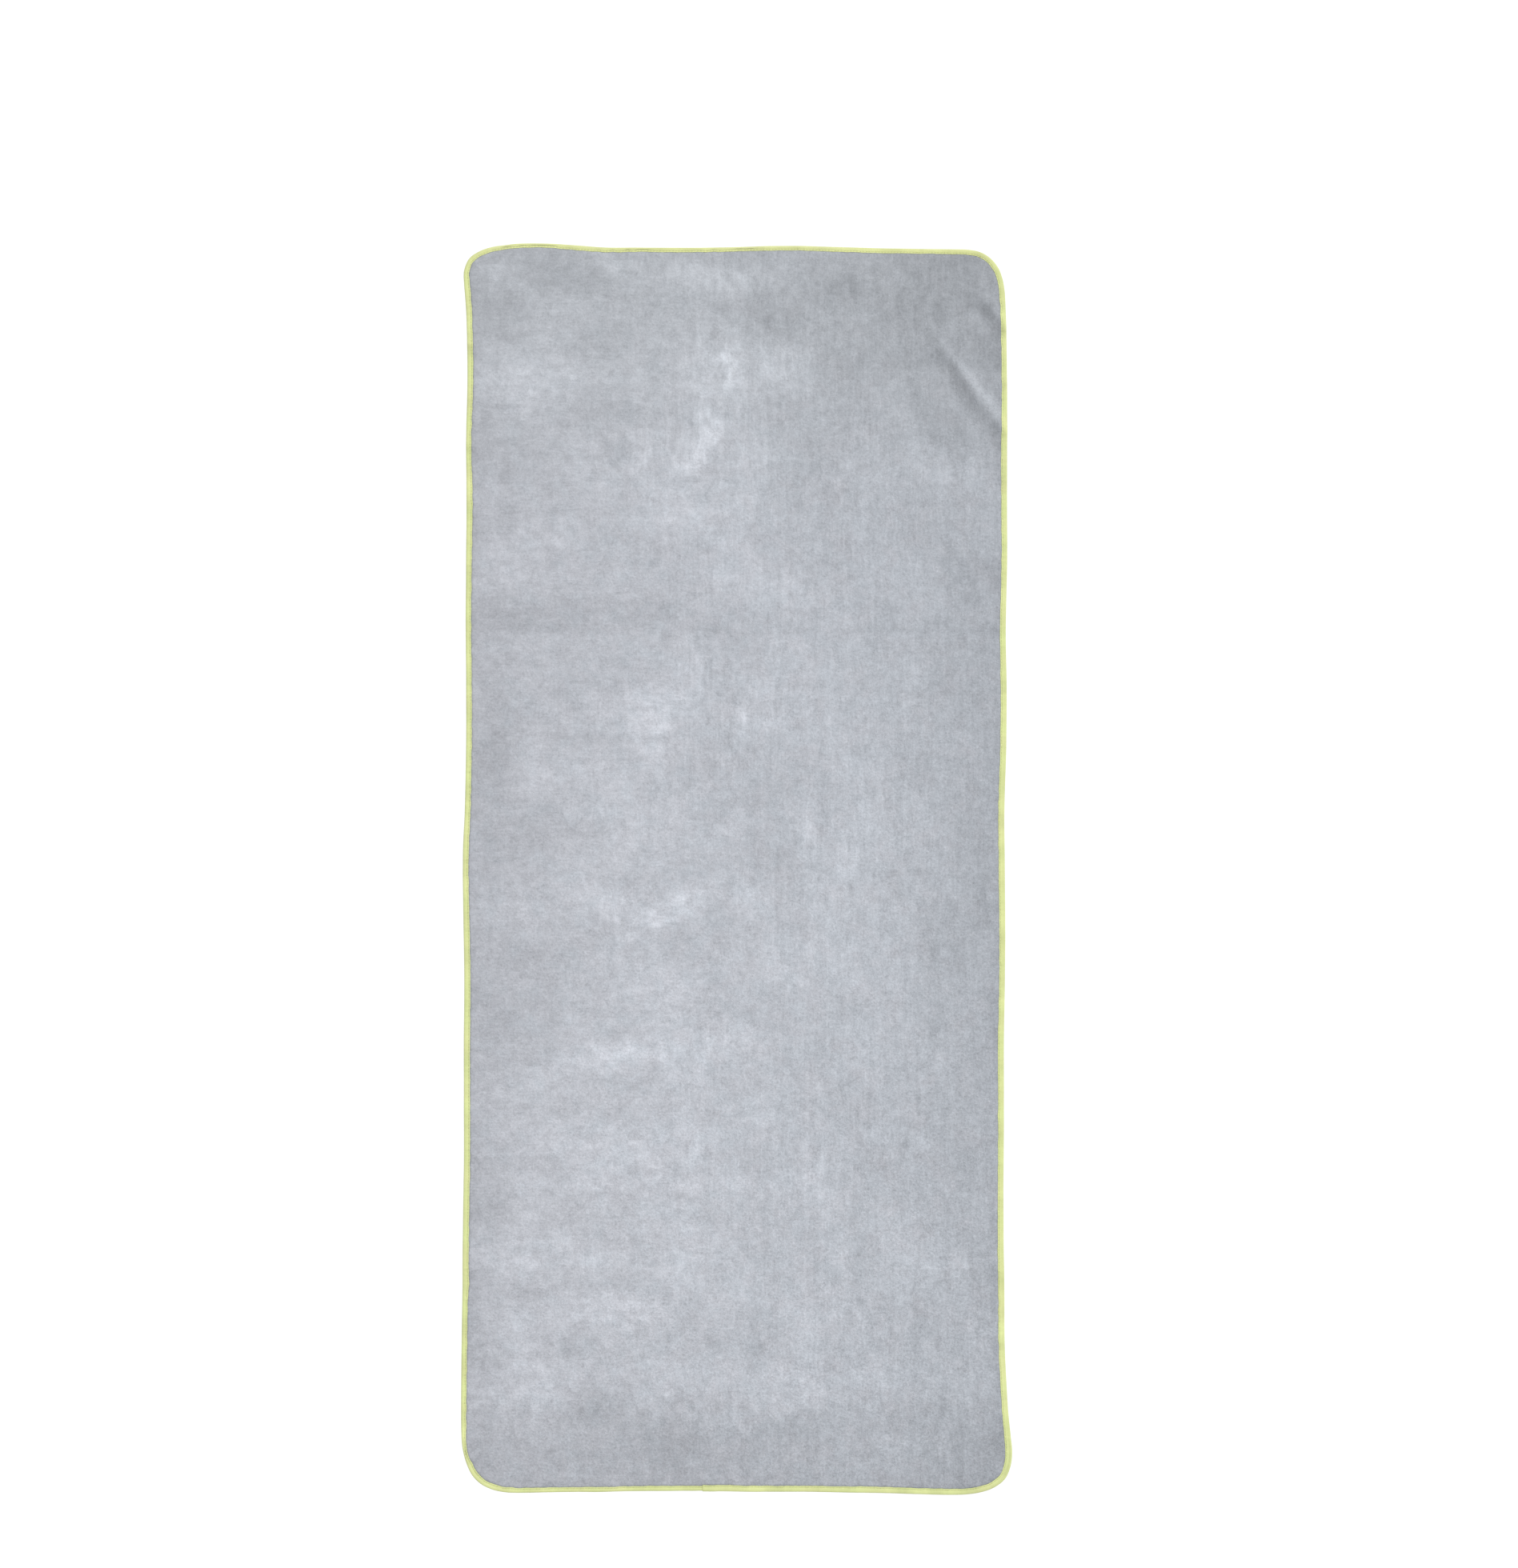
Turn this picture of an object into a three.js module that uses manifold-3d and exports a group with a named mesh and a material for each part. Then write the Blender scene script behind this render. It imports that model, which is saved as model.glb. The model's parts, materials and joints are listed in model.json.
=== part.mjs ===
// Quick dry towel, spread flat on a surface.
//
// One panel of brushed microfibre velour, cut as a long rectangle with round corners, and bound all round with a
// single length of folded tape. The tape grips the edge of the panel like a channel and is held by one row of
// lockstitch: the needle thread shows on the upper face and the bobbin thread on the lower one. The tape starts and
// ends in the middle of the foot edge. A small woven label is caught under the tape on the lower face.
//
// Frame: millimetres. X across the towel, Y along it (the head edge is at +Y), Z up. The origin is the centre of the
// towel's plan, on the surface that it lies on.
import * as THREE from "three";
import { mergeVertices } from "three/addons/utils/BufferGeometryUtils.js";
import Module from "manifold-3d";

// ---- driving dimensions ------------------------------------------------------------------------------------------
const PILE_HEIGHT = 3.0; // full thickness of the velour, both piles and the ground cloth
const CRUSHED = 1.0; // thickness of the cloth where the tape grips it
const TAPE = 0.6; // each leg of the tape: two plies of 0.3 mm, its raw edge turned in
const BINDING_WIDTH = 6.4; // finished width of the binding, seen from above: 25 mm tape folded in four
const BINDING_HEIGHT = 3.0; // over both legs
const PANEL_INSET = 0.9; // the cut edge of the cloth, measured in from the outside of the fold
const FIELD_INSET = 6.9; // where the pile stands up again, just inside the tape
const PILE_ROLL = 1.5; // how far the pile takes to reach its full height
const STITCH_LINE = 4.9; // centre of the stitching, measured in from the outside of the fold
const GROOVE_WIDTH = 0.9; // the stitches draw the tape down into a shallow groove
const GROOVE_DEPTH = 0.3;
const THREAD_WIDTH = 0.5;
const THREAD_HEIGHT = 0.22;
const LAP_GAP = 0.3; // between the two ends of the tape
const CORNER_STEP = 10; // station spacing round a corner
const SIDE_STEP = 45; // station spacing along a side
const LABEL = { y: -465, width: 30, start: 2.4, end: 42, thick: 0.2 };

// The outside of the binding as the towel lies: a rectangle of about 605 x 1395 mm whose edges wander a little, as
// the edges of a bound cloth do, and whose foot corners splay. Counter-clockwise from the ends of the tape.
const OUTLINE = [
  [-38, -696.7], [17.5, -697.5], [89, -697.7], [161, -699], [233, -701],
  [256.5, -700.4], [272, -698], [287.5, -692.5], [300.5, -682], [307, -666.5], [308.5, -650.5], [307, -635], [304, -604],
  [300.5, -536.5], [300, -469], [299, -402], [299, -335], [299.5, -267.5], [299.5, -200], [300.5, -133], [301, -66],
  [300.5, 1.5], [300, 68.5], [302, 136], [302.5, 203], [301.5, 270], [303, 337.5], [303, 404.5], [303, 472], [303, 539], [302, 606],
  [301, 637.5], [300, 650], [297.5, 662.5], [292.5, 674.5], [283.5, 685], [272, 691.5], [259, 694], [246, 694.5],
  [214.5, 695], [179, 695.5], [143, 696], [107, 697], [71.5, 698], [35.5, 698], [0, 697], [-36, 696.5], [-108, 696.5],
  [-144, 696.5], [-180, 699], [-215.5, 701],
  [-247, 700.5], [-260, 699], [-273.5, 697], [-287, 692.5], [-299, 684], [-305, 670], [-305, 655.5], [-304, 642],
  [-302.5, 615.5], [-301.5, 548], [-303, 481], [-302.5, 413.5], [-303, 346.5], [-303.5, 279], [-303, 212], [-303, 145],
  [-304, 77.5], [-306.5, 10.5], [-306, -57], [-305, -124], [-305.5, -191.5], [-305.5, -258.5], [-305.5, -326],
  [-306.5, -393], [-307, -460.5], [-308, -527.5], [-308.5, -594.5],
  [-307.5, -639.5], [-305.5, -653], [-302, -666], [-296, -678.5], [-286, -688.5], [-273.5, -694.5], [-260, -697.5], [-247, -698.5],
  [-198, -698], [-126, -697], [-90, -696.5], [-60, -696.5],
];

// ---- the edge as a path ------------------------------------------------------------------------------------------
// Walks the outline from one end of the tape to the other, in short steps round the corners and long ones on the
// sides. The sweeps below and the panel's own outline all use these same stations, so their facets stay parallel.
class EdgePath extends THREE.Curve {
  constructor(points, gap) {
    super();
    const curve = new THREE.CatmullRomCurve3(
      points.map(([x, y]) => new THREE.Vector3(x, y, 0)), true, "centripetal");
    curve.arcLengthDivisions = 4000;
    const length = curve.getLength();
    const turn = (s) => {
      const a = curve.getTangentAt(THREE.MathUtils.clamp((s - 6) / length, 0, 1));
      const b = curve.getTangentAt(THREE.MathUtils.clamp((s + 6) / length, 0, 1));
      return a.angleTo(b);
    };
    const at = [gap / 2];
    while (at[at.length - 1] < length - gap / 2) {
      const s = at[at.length - 1];
      const corner = turn(s) > 0.05 || turn(s + CORNER_STEP) > 0.05 || turn(s + 2 * CORNER_STEP) > 0.05;
      at.push(s + (corner ? CORNER_STEP : SIDE_STEP));
    }
    at[at.length - 1] = length - gap / 2;
    if (at[at.length - 1] - at[at.length - 2] < 3) at.splice(at.length - 2, 1);
    this.stations = at.map((s) => curve.getPointAt(s / length));
    this.tangents = at.map((s) => curve.getTangentAt(s / length).setZ(0).normalize());
    this.steps = at.length - 1;
  }
  getPointAt(u, target = new THREE.Vector3()) {
    return target.copy(this.stations[Math.round(u * this.steps)]);
  }
  getTangentAt(u, target = new THREE.Vector3()) {
    return target.copy(this.tangents[Math.round(u * this.steps)]);
  }
  getPoint(t, target) {
    return this.getPointAt(t, target);
  }
  // The outline moved inwards, as a closed plane shape.
  inset(distance) {
    return new THREE.Shape(
      this.stations.map((p, i) => {
        const t = this.tangents[i];
        return new THREE.Vector2(p.x - t.y * distance, p.y + t.x * distance);
      }));
  }
}
const edge = new EdgePath(OUTLINE, LAP_GAP);
const closed = new EdgePath(OUTLINE, 0);

// A section drawn as [in from the edge, height] becomes a shape for a sweep along the edge.
function sweep(section) {
  const shape = new THREE.Shape(section.map(([inward, up]) => new THREE.Vector2(-up, inward)));
  return new THREE.ExtrudeGeometry(shape, { steps: edge.steps, extrudePath: edge, bevelEnabled: false });
}

// ---- joining and cutting -----------------------------------------------------------------------------------------
const wasm = await Module();
wasm.setup();
function solid(geometry) {
  const g = geometry.clone();
  g.deleteAttribute("normal");
  g.deleteAttribute("uv");
  const merged = mergeVertices(g, 1e-4);
  return new wasm.Manifold(new wasm.Mesh({
    numProp: 3,
    vertProperties: new Float32Array(merged.attributes.position.array),
    triVerts: new Uint32Array(merged.index.array),
  }));
}
function geometryOf(manifold) {
  const mesh = manifold.getMesh(), positions = new Float32Array(mesh.numVert * 3);
  for (let i = 0; i < mesh.numVert; i++)
    positions.set(mesh.vertProperties.subarray(i * mesh.numProp, i * mesh.numProp + 3), i * 3);
  const g = new THREE.BufferGeometry();
  g.setAttribute("position", new THREE.BufferAttribute(positions, 3));
  g.setIndex(new THREE.BufferAttribute(new Uint32Array(mesh.triVerts), 1));
  g.computeVertexNormals();
  return g;
}
// A profile drawn as [x, z], extruded along Y from y0 to y1.
function bar(profile, y0, y1) {
  const g = new THREE.ExtrudeGeometry(
    new THREE.Shape(profile.map(([x, z]) => new THREE.Vector2(x, z))), { depth: y1 - y0, bevelEnabled: false });
  g.rotateX(Math.PI / 2);
  g.translate(0, y1, 0);
  return g;
}

// ---- panel -------------------------------------------------------------------------------------------------------
// A thin core that runs out into the tape, and the full pile inside it.
const core = new THREE.ExtrudeGeometry(closed.inset(PANEL_INSET), { depth: CRUSHED, bevelEnabled: false });
core.translate(0, 0, (PILE_HEIGHT - CRUSHED) / 2);
const rise = 0.9;
const field = new THREE.ExtrudeGeometry(closed.inset(FIELD_INSET + PILE_ROLL), {
  depth: PILE_HEIGHT - 2 * rise, bevelEnabled: true, bevelThickness: rise, bevelSize: PILE_ROLL, bevelSegments: 2, curveSegments: 1,
});
field.translate(0, 0, rise);

// The label lies in a shallow bed in the lower pile, and its end goes up between the cloth and the lower leg of the tape.
const labelEdge = -307;
const low = 0.05, high = 0.68;
const label = bar([
  [labelEdge + LABEL.start, high], [labelEdge + 6.8, high], [labelEdge + 9.4, low], [labelEdge + LABEL.end, low],
  [labelEdge + LABEL.end, low + LABEL.thick], [labelEdge + 9.5, low + LABEL.thick],
  [labelEdge + 6.9, high + LABEL.thick], [labelEdge + LABEL.start, high + LABEL.thick],
], LABEL.y - LABEL.width / 2, LABEL.y + LABEL.width / 2);
const bed = bar([
  [labelEdge + 5.9, -1], [labelEdge + LABEL.end + 0.4, -1], [labelEdge + LABEL.end + 0.4, 0.4],
  [labelEdge + 9.8, 0.4], [labelEdge + 7.3, 0.97], [labelEdge + 5.9, 0.97],
], LABEL.y - LABEL.width / 2 - 0.4, LABEL.y + LABEL.width / 2 + 0.4);
const panel = geometryOf(solid(core).add(solid(field)).subtract(solid(bed)));

// ---- binding -----------------------------------------------------------------------------------------------------
// A channel, its outside rounded where the tape folds over the edge, with a groove for the stitches in each leg.
const g0 = STITCH_LINE - GROOVE_WIDTH / 2, g1 = STITCH_LINE + GROOVE_WIDTH / 2, top = BINDING_HEIGHT;
const binding = sweep([
  [BINDING_WIDTH, 0.12], [BINDING_WIDTH, TAPE], [TAPE + 0.3, TAPE], [TAPE, TAPE + 0.3],
  [TAPE, top - TAPE - 0.3], [TAPE + 0.3, top - TAPE], [BINDING_WIDTH, top - TAPE], [BINDING_WIDTH, top - 0.12],
  [BINDING_WIDTH - 0.3, top], [g1, top], [g1, top - GROOVE_DEPTH], [g0, top - GROOVE_DEPTH], [g0, top],
  [1.3, top], [0.35, top - 0.55], [0, top / 2], [0.35, 0.55], [1.3, 0],
  [g0, 0], [g0, GROOVE_DEPTH], [g1, GROOVE_DEPTH], [g1, 0], [BINDING_WIDTH - 0.3, 0],
].reverse());

// ---- stitching ---------------------------------------------------------------------------------------------------
const t0 = STITCH_LINE - THREAD_WIDTH / 2, t1 = STITCH_LINE + THREAD_WIDTH / 2, clear = 0.04;
const thread = (z) => sweep([[t0, z], [t0, z + THREAD_HEIGHT], [t1, z + THREAD_HEIGHT], [t1, z]]);
const needle = thread(top - clear - THREAD_HEIGHT);
const bobbin = thread(clear);

// ---- assembly ----------------------------------------------------------------------------------------------------
const towel = new THREE.Group();
function piece(name, geometry, color, roughness) {
  const mesh = new THREE.Mesh(geometry, new THREE.MeshStandardMaterial({ color, roughness, metalness: 0 }));
  mesh.name = name;
  towel.add(mesh);
}
piece("towel_panel", panel, 0xb8bcc3, 0.95);
piece("edge_binding", binding, 0xd8df9f, 0.8);
piece("needle_thread", needle, 0xcdd58a, 0.6);
piece("bobbin_thread", bobbin, 0xcdd58a, 0.6);
piece("care_label", label, 0xf2f2ee, 0.5);

export default towel;
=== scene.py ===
import json
import math

import bpy
import numpy as np
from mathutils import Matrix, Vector
from mathutils.geometry import delaunay_2d_cdt
from mathutils.kdtree import KDTree

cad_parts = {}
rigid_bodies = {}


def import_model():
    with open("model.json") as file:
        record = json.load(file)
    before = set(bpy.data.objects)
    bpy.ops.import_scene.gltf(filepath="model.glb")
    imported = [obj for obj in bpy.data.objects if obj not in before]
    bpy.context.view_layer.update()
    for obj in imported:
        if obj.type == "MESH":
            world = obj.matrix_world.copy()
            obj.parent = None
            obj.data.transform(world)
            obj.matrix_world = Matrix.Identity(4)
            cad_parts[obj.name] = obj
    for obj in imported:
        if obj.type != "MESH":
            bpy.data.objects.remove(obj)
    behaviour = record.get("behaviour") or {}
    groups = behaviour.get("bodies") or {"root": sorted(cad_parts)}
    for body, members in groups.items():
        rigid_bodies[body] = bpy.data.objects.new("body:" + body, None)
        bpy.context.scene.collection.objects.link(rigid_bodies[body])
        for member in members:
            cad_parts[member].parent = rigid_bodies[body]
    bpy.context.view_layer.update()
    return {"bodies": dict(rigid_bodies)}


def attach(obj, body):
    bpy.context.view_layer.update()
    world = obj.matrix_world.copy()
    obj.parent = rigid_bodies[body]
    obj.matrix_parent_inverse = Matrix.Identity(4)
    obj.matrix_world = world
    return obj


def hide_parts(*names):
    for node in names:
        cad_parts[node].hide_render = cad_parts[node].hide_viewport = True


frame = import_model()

# A quick dry towel of brushed microfibre velour, laid flat. All the numbers below are millimetres in the row frame,
# and meshes are scaled to metres when they are made. The towel is described in edge coordinates: s runs along the
# outside of the binding, counter-clockwise from the lap in the foot edge, d is how far in from it a point is, and z is
# the height from the middle of the cloth, which is MID above whatever it rests on.

MM = 0.001
MID = 1.5

# ---- the edge ----------------------------------------------------------------------------------------------------
OUTLINE = np.array([
    [-38, -696.7], [17.5, -697.5], [89, -697.7], [161, -699], [233, -701],
    [256.5, -700.4], [272, -698], [287.5, -692.5], [300.5, -682], [307, -666.5], [308.5, -650.5], [307, -635],
    [304, -604], [300.5, -536.5], [300, -469], [299, -402], [299, -335], [299.5, -267.5], [299.5, -200],
    [300.5, -133], [301, -66], [300.5, 1.5], [300, 68.5], [302, 136], [302.5, 203], [301.5, 270], [303, 337.5],
    [303, 404.5], [303, 472], [303, 539], [302, 606],
    [301, 637.5], [300, 650], [297.5, 662.5], [292.5, 674.5], [283.5, 685], [272, 691.5], [259, 694], [246, 694.5],
    [214.5, 695], [179, 695.5], [143, 696], [107, 697], [71.5, 698], [35.5, 698], [0, 697], [-36, 696.5],
    [-108, 696.5], [-144, 696.5], [-180, 699], [-215.5, 701],
    [-247, 700.5], [-260, 699], [-273.5, 697], [-287, 692.5], [-299, 684], [-305, 670], [-305, 655.5], [-304, 642],
    [-302.5, 615.5], [-301.5, 548], [-303, 481], [-302.5, 413.5], [-303, 346.5], [-303.5, 279], [-303, 212],
    [-303, 145], [-304, 77.5], [-306.5, 10.5], [-306, -57], [-305, -124], [-305.5, -191.5], [-305.5, -258.5],
    [-305.5, -326], [-306.5, -393], [-307, -460.5], [-308, -527.5], [-308.5, -594.5],
    [-307.5, -639.5], [-305.5, -653], [-302, -666], [-296, -678.5], [-286, -688.5], [-273.5, -694.5],
    [-260, -697.5], [-247, -698.5], [-198, -698], [-126, -697], [-90, -696.5], [-60, -696.5],
], float)


def closed_spline(points, count):
    """Points evenly spaced along the closed centripetal spline through the given ones, and its length."""
    fine = []
    for i in range(len(points)):
        p0, p1, p2, p3 = (points[(i + k) % len(points)] for k in (-1, 0, 1, 2))
        d0, d1, d2 = (math.sqrt(np.linalg.norm(b - a)) for a, b in ((p0, p1), (p1, p2), (p2, p3)))
        t1 = ((p1 - p0) / d0 - (p2 - p0) / (d0 + d1) + (p2 - p1) / d1) * d1
        t2 = ((p2 - p1) / d1 - (p3 - p1) / (d1 + d2) + (p3 - p2) / d2) * d1
        t = np.linspace(0, 1, 80, endpoint=False)[:, None]
        fine.append(p1 + t1 * t + (3 * (p2 - p1) - 2 * t1 - t2) * t**2 + (2 * (p1 - p2) + t1 + t2) * t**3)
    fine = np.concatenate(fine)
    ring = np.vstack([fine, fine[:1]])
    along = np.concatenate([[0], np.cumsum(np.linalg.norm(np.diff(ring, axis=0), axis=1))])
    at = np.linspace(0, along[-1], count, endpoint=False)
    return np.stack([np.interp(at, along, ring[:, k]) for k in (0, 1)], axis=1), float(along[-1])


EDGE, LENGTH = closed_spline(OUTLINE, 4000)
EDGE_S = np.arange(len(EDGE)) * LENGTH / len(EDGE)
_t = np.roll(EDGE, -3, 0) - np.roll(EDGE, 3, 0)
_t /= np.linalg.norm(_t, axis=1)[:, None]
EDGE_IN = np.stack([-_t[:, 1], _t[:, 0]], axis=1)


def around(s, values):
    return np.interp(np.asarray(s, float) % LENGTH, EDGE_S, values, period=LENGTH)


def on_edge(s):
    """The outline's point and inward direction at s."""
    p = np.stack([around(s, EDGE[:, k]) for k in (0, 1)], axis=-1)
    n = np.stack([around(s, EDGE_IN[:, k]) for k in (0, 1)], axis=-1)
    return p, n / np.linalg.norm(n, axis=-1, keepdims=True)


def s_at(x, y):
    return float(EDGE_S[np.hypot(EDGE[:, 0] - x, EDGE[:, 1] - y).argmin()])


def bell(s, at, half):
    away = (np.asarray(s, float) - at + LENGTH / 2) % LENGTH - LENGTH / 2
    return np.exp(-0.5 * (away / half) ** 2)


def smooth(t):
    t = np.clip(t, 0, 1)
    return t * t * (3 - 2 * t)


# ---- seeded unevenness -------------------------------------------------------------------------------------------
_wander_steps = 16384
_wandered = {}


def wander(seed, short, long, s):
    """A smooth line that wanders along the edge between these wavelengths, with a spread of 1."""
    if (seed, short, long) not in _wandered:
        k = np.arange(max(1, round(LENGTH / long)), round(LENGTH / short) + 1)
        a, b = np.random.default_rng(seed).normal(size=(2, len(k)))
        bins = np.zeros(_wander_steps // 2 + 1, complex)
        bins[k] = a + 1j * b
        line = np.fft.irfft(bins, _wander_steps)
        _wandered[seed, short, long] = np.append(line, line[0]) / line.std()
    at = np.asarray(s, float) % LENGTH * (_wander_steps / LENGTH)
    return np.interp(at, np.arange(_wander_steps + 1), _wandered[seed, short, long])


CELL = 4.0
GRID_X, GRID_Y = np.arange(-348, 348.1, CELL), np.arange(-744, 744.1, CELL)


def clouds(seed, short, long, stretch_x=1.0, stretch_y=1.0):
    """A soft cloudy field over the towel's plan, with as much in each octave between these wavelengths, and a spread of 1."""
    white = np.random.default_rng(seed).normal(size=(len(GRID_Y), len(GRID_X)))
    f = np.hypot(
        np.fft.fftfreq(len(GRID_X), CELL)[None] * stretch_x, np.fft.fftfreq(len(GRID_Y), CELL)[:, None] * stretch_y
    )
    f[0, 0] = 1e-6
    band = np.exp(-((0.7 * f * short) ** 2)) * (1 - np.exp(-((1.1 * f * long) ** 2))) / f
    field = np.fft.ifft2(np.fft.fft2(white) * band).real
    return (field - field.mean()) / field.std()


def sample(field, x, y):
    """The field at these points, by a cubic through its grid."""
    u, v = (x - GRID_X[0]) / CELL, (y - GRID_Y[0]) / CELL
    i, j = np.floor(u).astype(int), np.floor(v).astype(int)
    fu, fv = u - i, v - j

    def weights(t):
        return (
            (-t + 2 * t**2 - t**3) / 2, (2 - 5 * t**2 + 3 * t**3) / 2, (t + 4 * t**2 - 3 * t**3) / 2, (t**3 - t**2) / 2
        )

    total = 0
    for m, wv in enumerate(weights(fv)):
        row = np.clip(j + m - 1, 0, len(GRID_Y) - 1)
        for k, wu in enumerate(weights(fu)):
            total = total + wu * wv * field[row, np.clip(i + k - 1, 0, len(GRID_X) - 1)]
    return total


# ---- how the binding runs ----------------------------------------------------------------------------------------
# The visible width of the upper leg of the tape. A folder lets it creep from one face to the other.
WIDTHS = [
    (-20, -697, 7.0), (17.5, -697.5, 6.8), (89, -697.7, 6.8), (161, -699, 7.1), (233, -701, 6.9), (272, -698, 6.8),
    (300.5, -682, 7.2), (306.5, -668, 7.4), (308.5, -650.5, 7.6), (305, -615, 6.9), (300, -469, 7.0), (299, -335, 6.5),
    (299.5, -267.5, 6.6), (299.5, -200, 6.8), (300.5, -133, 6.5), (300.5, 1.5, 7.0), (302, 136, 6.8),
    (302.5, 203, 6.7), (303, 337.5, 6.4), (303, 404.5, 6.5), (303, 472, 6.8), (303, 539, 6.0), (302, 606, 6.0),
    (297.5, 662.5, 6.2), (272, 691.5, 5.8), (214.5, 695, 5.5), (143, 696, 5.7), (71.5, 698, 5.3), (0, 697, 5.0),
    (-72, 696.5, 5.3), (-108, 696.5, 4.8), (-144, 696.5, 5.4), (-180, 699, 5.6), (-215.5, 701, 4.7),
    (-260, 699, 5.1), (-299, 684, 5.8), (-304, 642, 6.4), (-301.5, 548, 6.5), (-303, 481, 5.8), (-302.5, 413.5, 6.7),
    (-303.5, 279, 6.1), (-303, 145, 6.3), (-306.5, 10.5, 6.4), (-305, -124, 6.9), (-305.5, -258.5, 6.9),
    (-307, -440, 6.8), (-307, -462, 7.3), (-307.5, -480, 6.3), (-308, -560, 6.1), (-308.5, -622, 5.7),
    (-307.3, -640, 4.8), (-305.5, -651, 4.2), (-303.5, -660, 4.7), (-300.5, -669, 6.3), (-296, -678.5, 6.5),
    (-286, -688.5, 6.4), (-273.5, -694.5, 6.3), (-247, -698.5, 5.7), (-198, -698, 5.5),
    (-126, -697, 5.6), (-90, -696.5, 5.9), (-50, -696.5, 5.8),
]
_ws = np.array([s_at(x, y) for x, y, _ in WIDTHS])
_ww = np.array([w for _, _, w in WIDTHS])


def top_width(s):
    """The width of the upper leg at s, from 0 at one end of the tape to LENGTH at the other."""
    s = np.asarray(s, float)
    i = np.clip(np.searchsorted(_ws, s) - 1, 0, len(_ws) - 2)
    t = smooth((s - _ws[i]) / (_ws[i + 1] - _ws[i]))
    w = _ww[i] * (1 - t) + _ww[i + 1] * t
    w = w + 0.13 * wander(31, 14, 70, s)
    return w + 0.55 * bell(s, s_at(-7.6, -697), 1.8) * (s < LENGTH) + 0.45 * bell(s, s_at(-307, -464), 2.2)


def stitch_line(s):
    return top_width(s) - 1.5


def under_width(s):
    """The width of the lower leg, which always reaches past the stitches."""
    return np.maximum(np.clip(13.0 - top_width(s), 6.0, 7.9), stitch_line(s) + 1.15)


# ---- how the cloth lies ------------------------------------------------------------------------------------------
EDGE_LIFTS = [  # x, y, half width along the edge, height
    (-307, -632, 30, 0.9), (-292, -684, 26, 2.2), (307, -655, 30, 1.9), (285, -693, 26, 1.4), (-300, 682, 34, 1.6),
    (-212, 701, 42, 1.4), (296, 668, 28, 1.2), (303, 486, 15, 2.2), (302, 604, 11, 1.2), (-303, 470, 9, 0.8),
    (-302, 583, 8, 0.7), (-306, 8, 34, 0.9), (301, 190, 40, 1.0), (299, -330, 44, 1.1), (120, 696.6, 50, 0.9),
    (-38, -697, 16, 0.5),
]


def edge_lift(s):
    """How high the cloth stands off what it lies on, at its edge."""
    s = np.asarray(s, float)
    up = 1.5 * np.maximum(wander(41, 95, 420, s) - 0.6, 0) ** 1.2
    for x, y, half, height in EDGE_LIFTS:
        up = up + height * bell(s, s_at(x, y), half)
    return up


def edge_roll(s):
    """The angle by which the edge is rolled up."""
    s = np.asarray(s, float)
    deg = 4.5 * np.maximum(wander(43, 70, 260, s) - 0.2, 0)
    deg = deg + 21 * bell(s, s_at(-306.5, -648), 17) + 12 * bell(s, s_at(308, -645), 22)
    deg = deg + 7 * bell(s, s_at(-302, 678), 20) + 6 * bell(s, s_at(286, 683), 24)
    return np.radians(deg)


RIDGES = [  # x0, y0, x1, y1, half width, height, bend, fade at the start, fade at the end
    (220, 597, 274, 524, 4.8, 3.1, 1.6, 0.4, 0.4), (250, 558, 303, 489, 5.2, 3.7, -1.5, 0.45, 0.02),
    (270, 648, 303, 604, 4.2, 2.2, 1.0, 0.5, 0.02), (262, 618, 294, 572, 5.0, 0.8, 0.0, 0.5, 0.5),
    (-304, 476, -276, 462, 3.4, 1.0, 1.0, 0.02, 0.7), (-304, 590, -284, 576, 3.2, 0.9, 0.6, 0.02, 0.7),
    (-304, 606, -268, 612, 5.0, 0.7, 2.0, 0.05, 0.8), (-300, 264, -240, 262, 4.0, 0.5, 1.0, 0.1, 0.6),
    (-255, 690, -180, 668, 9.0, 0.8, -5.0, 0.4, 0.4), (-180, 668, -120, 694, 8.0, 0.7, 4.0, 0.4, 0.3),
    (299, 285, 266, 296, 4.0, 0.7, 1.0, 0.02, 0.7), (299, -140, 270, -122, 3.6, 0.7, -1.0, 0.02, 0.7),
    (299, -12, 262, -4, 3.4, 0.5, 0.0, 0.02, 0.7), (-30, 180, -8, 262, 5.0, 0.5, 3.0, 0.5, 0.5),
    (-300, -640, -262, -600, 8.0, 1.2, 3.0, 0.1, 0.7), (300, -640, 262, -588, 10.0, 0.9, -4.0, 0.1, 0.7),
    (-301, -662, -282, -650, 3.0, 0.9, 0.5, 0.02, 0.6),
]
WRINKLE_PAINTED_LIGHT = [  # painted shade and highlight of the wrinkles at the top right, as ridges, with how much lighter or darker each band is painted in place of the height
    (215, 589, 268, 515, 6.0, -0.16, 1.0, 0.3, 0.5), (243, 544, 298, 477, 7.8, -0.19, -1.0, 0.45, 0.02),
    (228, 594, 270, 537, 2.1, 0.055, 1.6, 0.3, 0.4), (250, 566, 296, 508, 2.3, 0.08, 0.8, 0.3, 0.3),
    (264, 640, 296, 600, 4.5, -0.12, 1.0, 0.4, 0.1), (274, 650, 298, 624, 2.2, 0.035, 1.0, 0.4, 0.3),
    (270, 600, 298, 560, 6.0, -0.06, 0.0, 0.5, 0.1), (196, 610, 226, 590, 4.0, -0.05, 1.0, 0.4, 0.4),
]
CREASES = [  # y at the middle, height, half width, +1 a fold that stands up and -1 one that stays down, tilt
    (559.0, 0.55, 15, -1, 0.004), (265.7, 0.95, 17, -1, -0.002), (-2.7, 0.75, 15, 1, 0.003),
    (-449.0, 0.65, 14, 1, -0.003), (-660.2, 0.5, 13, -1, 0.002),
]
UNDULATION, SMALL_UNDULATION = clouds(51, 95, 330), clouds(52, 26, 90)
CREASE_SHAKE = clouds(53, 30, 200, 0.25, 1.0)


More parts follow.
